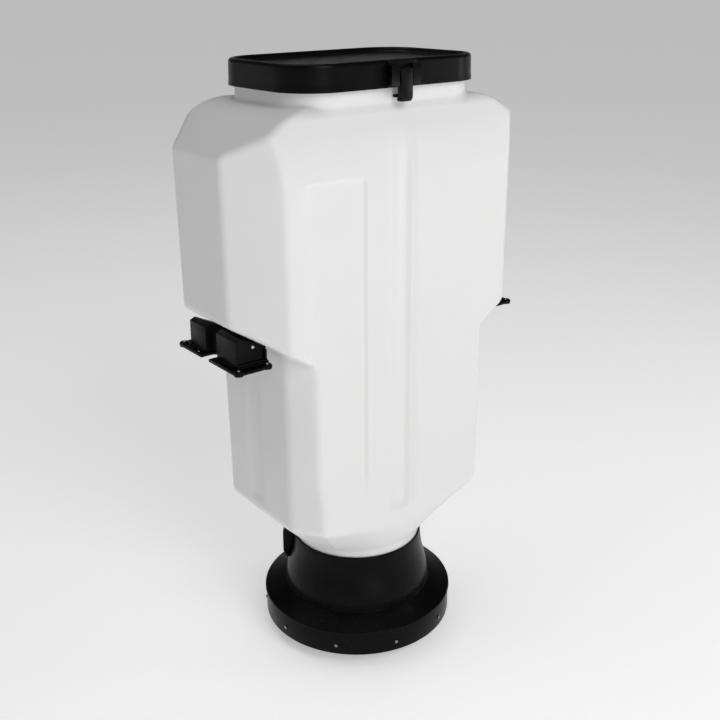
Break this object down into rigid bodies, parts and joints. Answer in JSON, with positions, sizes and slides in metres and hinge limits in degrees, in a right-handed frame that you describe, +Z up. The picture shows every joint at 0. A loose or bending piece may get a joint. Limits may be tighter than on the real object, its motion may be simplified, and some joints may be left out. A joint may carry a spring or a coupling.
{
  "type": "tailgate salt spreader",
  "caption": "Upright moulded hopper with a hinged latching lid, side hanging brackets and a motor driven spinner under a flared housing.",
  "frame": {"origin": "centre of the object's box at the underside of the spinner, which it stands on", "axes": "+Z up along the drive shaft, +X across to the right bracket, -Y towards the lid's latch"},
  "size_m": [0.5842, 0.339, 1.024],
  "materials": {
    "hopper_plastic": "natural white rotomoulded polyethylene, satin",
    "housing_plastic": "black moulded plastic, soft sheen",
    "bracket_plastic": "black glass-filled moulding",
    "lid_plastic": "black moulded plastic, fine grain",
    "spinner_plastic": "black polyurethane",
    "stainless": "plain stainless",
    "dark_screws": "blackened steel",
    "zinc_steel": "zinc plated sheet",
    "casting": "as cast",
    "motor_paint": "black enamel",
    "bronze": "machined bronze",
    "rubber": "soft black rubber"
  },
  "bodies": {
    "hopper_assembly": {"hopper": "hopper_plastic", "bell_housing": "housing_plastic", "skirt_ring": "housing_plastic", "skirt_screw_01": "dark_screws", "skirt_screw_02": "dark_screws", "skirt_screw_03": "dark_screws", "skirt_screw_04": "dark_screws", "skirt_screw_05": "dark_screws", "skirt_screw_06": "dark_screws", "skirt_screw_07": "dark_screws", "skirt_screw_08": "dark_screws", "skirt_screw_09": "dark_screws", "skirt_screw_10": "dark_screws", "drive_frame": "zinc_steel", "frame_bolt_1": "stainless", "frame_bolt_2": "stainless", "frame_bolt_3": "stainless", "gearbox_case": "casting", "gearbox_cover": "casting", "bearing_lower": "stainless", "bearing_upper": "stainless", "shaft_seal": "rubber", "motor_can": "motor_paint", "motor_end_cap": "housing_plastic", "drive_hood": "housing_plastic", "cable_inlet": "housing_plastic", "cable_gland": "housing_plastic", "latch_keeper": "housing_plastic", "baffle": "zinc_steel", "hinge_leaf_left": "zinc_steel", "hinge_pin_left": "stainless", "bracket_left": "bracket_plastic", "bracket_bolt_left_1": "stainless", "bracket_bolt_left_2": "stainless", "hinge_leaf_right": "zinc_steel", "hinge_pin_right": "stainless", "bracket_right": "bracket_plastic", "bracket_bolt_right_1": "stainless", "bracket_bolt_right_2": "stainless"},
    "lid_assembly": {"lid": "lid_plastic", "lid_gasket": "rubber", "latch_housing": "lid_plastic", "latch_pin": "stainless", "lid_hinge_arm_left": "zinc_steel", "lid_hinge_arm_right": "zinc_steel"},
    "latch_tongue": {"latch": "lid_plastic"},
    "spinner_drive": {"drive_shaft": "stainless", "worm_wheel": "bronze", "spinner": "spinner_plastic", "spinner_nut": "stainless", "agitator": "stainless", "agitator_screw_back": "stainless", "agitator_screw_front": "stainless"},
    "motor_rotor": {"motor_shaft": "stainless"}
  },
  "joints": [
    {"name": "lid_hinge", "type": "hinge", "parent": "hopper_assembly", "child": "lid_assembly", "pos_m": [0, 0.146, 0.9775], "axis": [-1, 0, 0], "range_deg": [0, 110]},
    {"name": "latch_pivot", "type": "hinge", "parent": "lid_assembly", "child": "latch_tongue", "pos_m": [0, -0.1345, 1.009], "axis": [-1, 0, 0], "range_deg": [0, 95]},
    {"name": "spinner_spin", "type": "hinge", "parent": "hopper_assembly", "child": "spinner_drive", "pos_m": [0, 0, 0.09], "axis": [0, 0, 1], "continuous": true},
    {"name": "motor_spin", "type": "hinge", "parent": "hopper_assembly", "child": "motor_rotor", "pos_m": [-0.01565, -0.02076, 0.09], "axis": [-0.7986, 0.6018, 0], "continuous": true}
  ],
  "couplings": [
    {"joint": "motor_spin", "follows": "spinner_spin", "ratio": 28}
  ]
}
